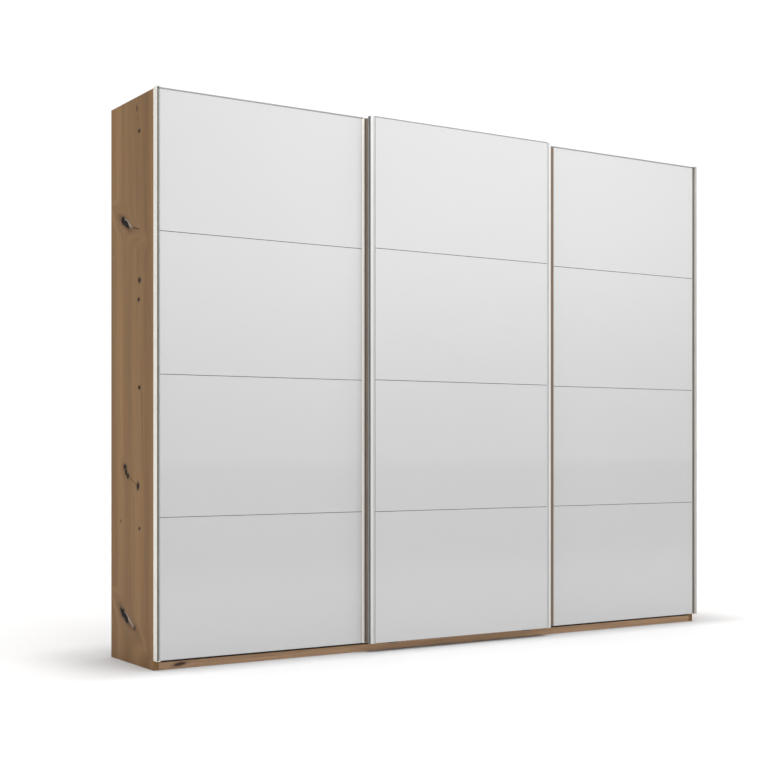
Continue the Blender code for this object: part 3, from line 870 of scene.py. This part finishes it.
def add_roller(door, side):
    """A grooved tyre on a bearing, in place of the CAD wheel."""
    node = f"{door}_{side}_wheel"
    low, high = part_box(node)
    centre = (low + high) / 2
    radius = (high.z - low.z) / 2
    half = (high.y - low.y) / 2
    groove = radius - GROOVE_DEPTH
    race = half - RACE_RECESS
    tyre = [(0.0066, -race), (0.0092, -race), (0.0098, -half + 0.0004), (0.0104, -half),
            (radius - 0.0007, -half), (radius - 0.0002, -half + 0.0002), (radius, -half + 0.0007),
            (radius, -0.0036), (radius - 0.0004, -0.0031), (groove + 0.0003, -0.0015),
            (groove, -0.0010)]
    shape = Shape()
    shape.turn(symmetric(tyre), centre, "Y", 40, ring=True)
    shape.piece(node + "_tyre", "nylon", node, "nylon", node)
    outer = [(0.0053, -race), (0.0064, -race), (0.0065, -race + 0.0001)]
    inner = [(0.0043, -race - 0.0002), (0.0050, -race - 0.0002)]
    bearing = Shape()
    for outline in (outer, inner):
        bearing.turn(symmetric(outline), centre, "Y", 32, ring=True)
    bearing.piece(node + "_bearing", "steel", node, "steel")
    shield = Shape()
    shield.turn(symmetric([(0.0050, -race + 0.0004), (0.0053, -race + 0.0004)]), centre, "Y", 32,
                ring=True)
    shield.piece(node + "_shield", "rubber", node, "nylon")


def add_hanger_fixings(door, side):
    """Screws that hold a hanger's plate, and the riveted head of its axle."""
    low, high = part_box(f"{door}_{side}_hanger")
    wheel_low, wheel_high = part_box(f"{door}_{side}_wheel")
    wheel = (wheel_low + wheel_high) / 2
    plate_back = low.y + 0.002
    shape = Shape()
    for offset in (-0.016, 0.016):
        for rise in (0.009, 0.023):
            centre = (wheel.x + offset, plate_back + CLEAR, low.z + rise)
            shape.turn(pan_head(SCREW_RADIUS, SCREW_HEIGHT), centre, "Y", 20)
    rivet = [(0.0, 0.0), (0.0055, 0.0), (0.0058, 0.0006), (0.0050, 0.0014), (0.0030, 0.0020),
             (0.0, 0.0022)]
    shape.turn(rivet, (wheel.x, high.y + CLEAR, wheel.z), "Y", 24)
    shape.piece(f"{door}_{side}_hanger_fixings", "steel", door, "steel")


def add_guide_fixings(door, side, body):
    """The two screws of a bottom guide."""
    low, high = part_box(f"{door}_{side}_guide")
    middle = (low.x + high.x) / 2
    shape = Shape()
    for offset in (-0.012, 0.012):
        centre = (middle + offset, low.y + 0.003 + CLEAR, high.z - 0.012)
        shape.turn(pan_head(SCREW_RADIUS, SCREW_HEIGHT), centre, "Y", 20)
    shape.piece(f"{door}_{side}_guide_fixings", "steel", body, "steel")


# ======== carcass fittings
TRACK_PLATE = 0.002  # thickness of the top track
TRACK_SCREWS = 9
STOP_START = 0.004  # of an end stop's foot, from the track's end
STOP_END = 0.075
STOP_WALL = 0.062  # its upright wall, from the track's end
STOP_WALL_THICK = 0.003
CLIPS = 8
CLIP_HALF = 0.012
PIN_DROP = 0.0042  # of a shelf pin's axis, below the shelf
PIN_SPACING = 0.032
PIN_STEPS = (-4, -3, -2, -1, 1, 2, 3, 4)
CAM_OFFSET = 0.034  # of a cam cover, from the upright beside it
NAIL_COLUMNS = 9
NAIL_ROWS = 16
NAIL_MARGIN = 0.008
BRACKET_PLACE = 0.95  # of a wall bracket, from the middle
BRACKET_HALF = 0.018
BRACKET_REACH = 0.060
BRACKET_HEIGHT = 0.042
BRACKET_THICK = 0.0020
BRACKET_FOOT_THICK = 0.0022


def add_track_fittings():
    """Screws along the top track, and at each end a steel stop with two rubber buffers."""
    low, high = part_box("top_track")
    base = low.z + TRACK_PLATE
    screws = Shape()
    for x in spread(low.x + 0.110, high.x - 0.110, TRACK_SCREWS):
        for y in (low.y + 0.005, high.y - 0.005):
            screws.turn(pan_head(0.0030, 0.0010), (x, y, base + 0.0001), "Z", 16)
    screws.piece("track_screws", "steel", "carcass", "steel")
    buffer = [(0.0, 0.0), (0.0060, 0.0), (0.0060, 0.0030), (0.0050, 0.0052), (0.0030, 0.0062),
              (0.0, 0.0066)]
    for side, sign in SIDES:
        edge = low.x if sign < 0 else high.x
        foot = between(edge - sign * STOP_START, edge - sign * STOP_END)
        wall = between(edge - sign * STOP_WALL, edge - sign * (STOP_WALL + STOP_WALL_THICK))
        mid_low, mid_high = low.y + 0.0235, high.y - 0.0255
        stop = Shape()
        stop.board((foot[0], mid_low, base + 0.0002), (foot[1], mid_high, base + 0.0022), 0.0005)
        stop.board((wall[0], low.y + 0.004, base + 0.0075), (wall[1], high.y - 0.004, base + 0.028),
                   0.0008)
        stop.board((wall[0], mid_low, base + 0.0015), (wall[1], mid_high, base + 0.009), 0.0004)
        stop.piece(f"end_stop_{side}", "steel", "carcass", "steel")
        face = edge - sign * (STOP_WALL + STOP_WALL_THICK + CLEAR)
        buffers = Shape()
        for y in (low.y + 0.0175, low.y + 0.058):
            buffers.turn(directed(buffer, -sign), (face, y, base + 0.0160), "X", 24)
        buffers.piece(f"end_buffers_{side}", "rubber", "carcass", "nylon")


def add_guide_rail_fittings():
    """End plates and clips that hold the bottom guide rail from behind."""
    low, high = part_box("bottom_guide_rail")
    back = high.y + CLEAR
    clips = Shape()
    for x in (low.x + 0.0002, high.x - 0.0082):
        clips.board((x, back, low.z), (x + 0.008, high.y + 0.0030, high.z), 0.0006)
    for x in spread(low.x + 0.15, high.x - 0.15, CLIPS):
        near, far = x - CLIP_HALF, x + CLIP_HALF
        clips.board((near, back, low.z), (far, high.y + 0.0022, high.z), 0.0005)
        clips.board((near, back, low.z - 0.0025), (far, high.y + 0.030, low.z - 0.0005), 0.0005)
    clips.piece("guide_rail_clips", "guide_rail", "carcass", "guide_rail")


def add_rail_fittings(side):
    """Plastic end plugs on the hanging rail and round flanges where it hangs from the shelf."""
    low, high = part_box("hanging_rail_" + side)
    x = (low.x + high.x) / 2
    z = low.z + 0.0125
    top = high.z - CLEAR
    plug = [(0.0, 0.0), (0.0136, 0.0), (0.0138, 0.0004), (0.0136, 0.0018), (0.0115, 0.0032),
            (0.0, 0.0038)]
    plugs = Shape()
    for y, sign in ((low.y - 0.0001, -1), (high.y + 0.0001, 1)):
        plugs.turn(directed(plug, sign), (x, y, z), "Y", 32)
    plugs.piece(f"rail_plugs_{side}", "nylon", "carcass", "nylon")
    flange = [(0.0150, 0.0), (0.0250, 0.0), (0.0250, -0.0016), (0.0236, -0.0026), (0.0150, -0.0026)]
    screw = directed(pan_head(0.0030, 0.0012), -1)
    flanges = Shape()
    for y in (FRONT + 0.090, FRONT + 0.330):
        flanges.turn(flange, (x, y, top), "Z", 32, ring=True)
        for screw_x in (x - 0.020, x + 0.020):
            flanges.turn(screw, (screw_x, y, top - 0.0026), "Z", 14)
    flanges.piece(f"rail_flanges_{side}", "steel", "carcass", "steel")


def add_shelf_pins():
    """Four pins under each shelf, and the rows of spare pin holes' ferrules around them."""
    dividers = ("left_divider", "right_divider")
    shelves = {"hat_shelf_left": ("left_side_panel", "left_divider"),
               "hat_shelf_right": ("right_divider", "right_side_panel"),
               "lower_centre_shelf": dividers,
               "middle_centre_shelf": dividers,
               "upper_centre_shelf": dividers}
    pin = [(0.0, 0.0001), (0.0038, 0.0001), (0.0040, 0.0006), (0.0040, 0.0016), (0.0026, 0.0020),
           (0.0026, 0.0085), (0.0020, 0.0095), (0.0, 0.0096)]
    ferrule = [(0.0026, 0.0001), (0.0042, 0.0001), (0.0042, 0.0004), (0.0038, 0.0006),
               (0.0028, 0.0006), (0.0026, 0.0004)]
    pins, ferrules = Shape(), Shape()
    for shelf, (near, far) in shelves.items():
        low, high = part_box(shelf)
        for wall, sign in ((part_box(near)[1].x, 1), (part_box(far)[0].x, -1)):
            for y in (low.y + 0.035, high.y - 0.045):
                pins.turn(directed(pin, sign), (wall, y, low.z - PIN_DROP), "X", 16)
                for step in PIN_STEPS:
                    z = low.z - PIN_DROP + step * PIN_SPACING
                    if low.z - 0.006 < z < high.z + 0.006:
                        continue
                    ferrules.turn(directed(ferrule, sign), (wall, y, z), "X", 12, ring=True)
    pins.piece("shelf_pins", "steel", "carcass", "steel")
    ferrules.piece("pin_ferrules", "ivory_plastic", "carcass", "nylon")


def add_cam_covers():
    """Round caps over the cam fittings of the top and bottom boards, beside every upright."""
    top_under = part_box("top_board")[0].z
    bottom_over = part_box("bottom_board")[1].z
    uprights = ("left_side_panel", "left_divider", "right_divider", "right_side_panel")
    cap = [(0.0, 0.0001), (0.0085, 0.0001), (0.0088, 0.0005), (0.0082, 0.0011), (0.0, 0.0013)]
    covers = Shape()
    for node in uprights:
        low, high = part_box(node)
        spots = [] if node == uprights[0] else [low.x - CAM_OFFSET]
        spots += [] if node == uprights[-1] else [high.x + CAM_OFFSET]
        for x in spots:
            for y in (FRONT + 0.060, FRONT + 0.340):
                covers.turn(directed(cap, -1), (x, y, top_under), "Z", 24)
                covers.turn(cap, (x, y, bottom_over), "Z", 24)
    covers.piece("cam_covers", "ivory_plastic", "carcass", "nylon")


def add_back_nails():
    """Nails around the edges of the back panels."""
    head = [(0.0, 0.0), (0.0024, 0.0), (0.0026, 0.0002), (0.0020, 0.0005), (0.0, 0.0006)]
    nails = Shape()
    for bay in ("left", "centre", "right"):
        low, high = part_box("back_panel_" + bay)
        columns = spread(low.x + NAIL_MARGIN, high.x - NAIL_MARGIN, NAIL_COLUMNS)
        rows = spread(low.z + 0.040, high.z - NAIL_MARGIN, NAIL_ROWS)
        for x in columns:
            for z in rows:
                if x in (columns[0], columns[-1]) or z in (rows[0], rows[-1]):
                    nails.turn(head, (x, high.y + 0.0001, z), "Y", 10)
    nails.piece("back_nails", "steel", "carcass", "steel")


def add_wall_brackets():
    """Two steel angles on the top board, for fixing the wardrobe to the wall."""
    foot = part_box("top_board")[1].z + CLEAR
    foot_top = foot + BRACKET_FOOT_THICK
    wall = cad_high.y - CLEAR
    inside = wall - BRACKET_THICK
    front = cad_high.y - BRACKET_REACH
    bend = BRACKET_THICK
    washer = [(0.0035, 0.0), (0.0080, 0.0), (0.0080, -0.0010), (0.0035, -0.0010)]
    for side, sign in SIDES:
        x = sign * BRACKET_PLACE
        outline = [(front, foot), (wall, foot), (wall, foot + BRACKET_HEIGHT),
                   (inside, foot + BRACKET_HEIGHT), (inside, foot_top + bend),
                   (inside - bend, foot_top), (front, foot_top)]
        shape = Shape()
        shape.extrude(outline, in_section, x - BRACKET_HALF, x + BRACKET_HALF, 0.0004)
        for y in (front + 0.012, front + 0.032):
            shape.turn(pan_head(0.0042, 0.0020), (x, y, foot_top + 0.0001), "Z", 20)
        hole = foot + 0.028
        shape.turn(washer, (x, inside - 0.0001, hole), "Y", 24, ring=True)
        shape.turn(directed(pan_head(0.0046, 0.0024), -1), (x, inside - 0.0012, hole), "Y", 20)
        shape.piece(f"wall_bracket_{side}", "steel", "carcass", "steel")


# ======== camera, light, stage
CAMERA_PLACE = (-3.411, cad_low.y - 4.671, 0.807)
CAMERA_TURN = -32.85  # degrees from looking along +Y
CAMERA_LENS = 65.78
CAMERA_SHIFT = 0.0833
FLOOR_SIZE = 60.0
FLOOR_NEAR_PAINTED_SHADOW = (0.695, 0.695, 0.702)
FLOOR_FAR = (0.915, 0.915, 0.915)
FLOOR_FAR_PALER = (0.935, 0.935, 0.935)
FLOOR_ROOM_PAINTED_SHADE = (0.600, 0.600, 0.600)
FLOOR_FADE = 0.42  # the painted shadow's reach around the wardrobe
FLOOR_FRONT_FADE = 2.2  # it fades this much faster in front
FLOOR_ROOM_START = 1.9  # of the room's painted shade, in front of the doors
FLOOR_ROOM_END = 4.6
SKY_BACKDROP = 1.04
SKY_ROOM_LOW = 1.00
SKY_ROOM = 0.42
SKY_UPPER = 0.35
SKY_TOP = 1.75
SKY_WINDOW_LOW = 0.05
SKY_WINDOW_HIGH = 0.92


def make_camera():
    """A level view from the front left, with the horizon below the middle of the picture."""
    camera = bpy.data.cameras.new("camera")
    camera.sensor_width = 36.0
    camera.lens = CAMERA_LENS
    camera.shift_y = CAMERA_SHIFT
    obj = bpy.data.objects.new("camera", camera)
    obj.location = CAMERA_PLACE
    obj.rotation_euler = (math.radians(90.0), 0.0, math.radians(CAMERA_TURN))
    bpy.context.collection.objects.link(obj)
    bpy.context.scene.camera = obj


def add_light(name, kind, place, target, energy, size, beam=180.0):
    """A light at place, aimed at target. size is a sun's angle, or an area light's two sides."""
    light = bpy.data.lights.new(name, kind)
    light.energy = energy
    if kind == "SUN":
        light.angle = math.radians(size)
    else:
        light.shape = "RECTANGLE"
        light.size, light.size_y = size
        light.spread = math.radians(beam)
    obj = bpy.data.objects.new(name, light)
    obj.location = place
    obj.rotation_euler = (Vector(target) - Vector(place)).to_track_quat("-Z", "Y").to_euler()
    bpy.context.collection.objects.link(obj)


def make_floor():
    """A pale floor with a painted shadow close around the wardrobe and painted shade further out in
    the room in front of it.
    """
    bm = bmesh.new()
    bmesh.ops.create_grid(bm, x_segments=8, y_segments=8, size=FLOOR_SIZE)
    mesh = bpy.data.meshes.new("floor")
    bm.to_mesh(mesh)
    bm.free()
    floor = bpy.data.objects.new("floor", mesh)
    floor.location.z = -0.0004
    bpy.context.collection.objects.link(floor)
    nodes = Nodes("floor")
    x, y, z = nodes.place()
    cloud = nodes.noise(nodes.combine(x, y, z), 0.8)
    gaps = (nodes.minus(nodes.math("ABSOLUTE", x), cad_high.x),
            nodes.minus(y, cad_high.y),
            nodes.times(nodes.minus(FRONT, y), FLOOR_FRONT_FADE))
    outside = [nodes.math("MAXIMUM", gap, 0.0) for gap in gaps]
    squares = [nodes.times(gap, gap) for gap in outside]
    distance = nodes.math("SQRT", nodes.chain("ADD", squares))
    far = nodes.mix(cloud, FLOOR_FAR, FLOOR_FAR_PALER)
    # painted shade on the floor far in front, which the doors' lower glass reflects
    room = nodes.smooth(y, cad_low.y - FLOOR_ROOM_START, cad_low.y - FLOOR_ROOM_END)
    far = nodes.mix(room, far, FLOOR_ROOM_PAINTED_SHADE)
    # painted shadow: greyer close around the wardrobe's base
    colour = nodes.mix(nodes.smooth(distance, 0.0, FLOOR_FADE), FLOOR_NEAR_PAINTED_SHADOW, far)
    mesh.materials.append(nodes.finish(colour, 0.9, Specular_IOR_Level=0.0))


class Sky(Nodes):
    """The studio around the wardrobe, as strengths that depend only on the direction."""

    def __init__(self):
        world = bpy.data.worlds.new("studio")
        bpy.context.scene.world = world
        world.use_nodes = True
        self.tree = world.node_tree
        self.background = self.tree.nodes["Background"]
        self.background.inputs["Color"].default_value = (1.0, 1.0, 1.0, 1.0)
        self.direction = self.add("ShaderNodeTexCoord").outputs["Generated"]

    def towards(self, axis):
        """How far the direction points along an axis."""
        node = self.add("ShaderNodeVectorMath", operation="DOT_PRODUCT")
        self.feed(node.inputs[0], self.direction)
        self.feed(node.inputs[1], axis)
        return node.outputs["Value"]


def make_world():
    """A white backdrop behind the wardrobe, walls that get dimmer with height elsewhere, a pale
    window that the doors reflect, and a wide overhead light that mostly falls on the floor."""
    sky = Sky()
    height = sky.towards((0.0, 0.0, 1.0))
    room = sky.smooth(height, 0.02, 0.26, SKY_ROOM_LOW, SKY_ROOM)
    wall = sky.smooth(sky.towards((0.20, 0.98, 0.0)), 0.02, 0.42, room, SKY_BACKDROP)
    window = sky.times(sky.smooth(sky.towards((0.55, -0.83, 0.0)), 0.80, 0.93),
                       sky.smooth(height, 0.0, 0.16, SKY_WINDOW_LOW, SKY_WINDOW_HIGH))
    lower = sky.smooth(height, 0.32, 0.44, sky.plus(wall, window), SKY_UPPER)
    whole = sky.smooth(height, 0.66, 0.86, lower, SKY_TOP)
    sky.feed(sky.background.inputs["Strength"], whole)


def make_studio():
    """Camera, floor, surroundings and two lights: a soft overhead glow and a strip at the front."""
    make_camera()
    make_floor()
    make_world()
    add_light("sun", "SUN", (1.2, -1.6, 6.0), (0.0, 0.0, 0.0), 0.40, 50.0)
    add_light("softbox", "AREA", (0.1, -2.6, 3.3), (-0.1, 0.0, 2.1), 19.5, (4.0, 0.6), 95.0)
    bpy.context.scene.view_settings.view_transform = "Standard"


# ======== all together
def make_doors():
    for door in DOORS:
        add_seams(door)
        add_top_trim(door)
        add_profile_caps(door)
        for side, _ in SIDES:
            for part, width in (("stile", 0.00035), ("hanger", 0.00045), ("guide", 0.00050)):
                round_edges(f"{door}_{side}_{part}", width)
            add_roller(door, side)
            add_hanger_fixings(door, side)
            body = door if door == "centre_door" else f"{door}_{side}_guide"
            add_guide_fixings(door, side, body)
    for add in (add_fin_liner, add_grip_liner):
        for side, sign in SIDES:
            add(side, sign)
    for add in (add_brush_seal, add_inner_bead):
        for door, side, sign in INNER_EDGES:
            add(door, side, sign)
    add_shadow_strip()


def make_fittings():
    add_track_fittings()
    add_guide_rail_fittings()
    for side, _ in SIDES:
        add_rail_fittings(side)
    add_shelf_pins()
    add_cam_covers()
    add_back_nails()
    add_wall_brackets()


make_studio()
dress_cad()
make_doors()
make_fittings()
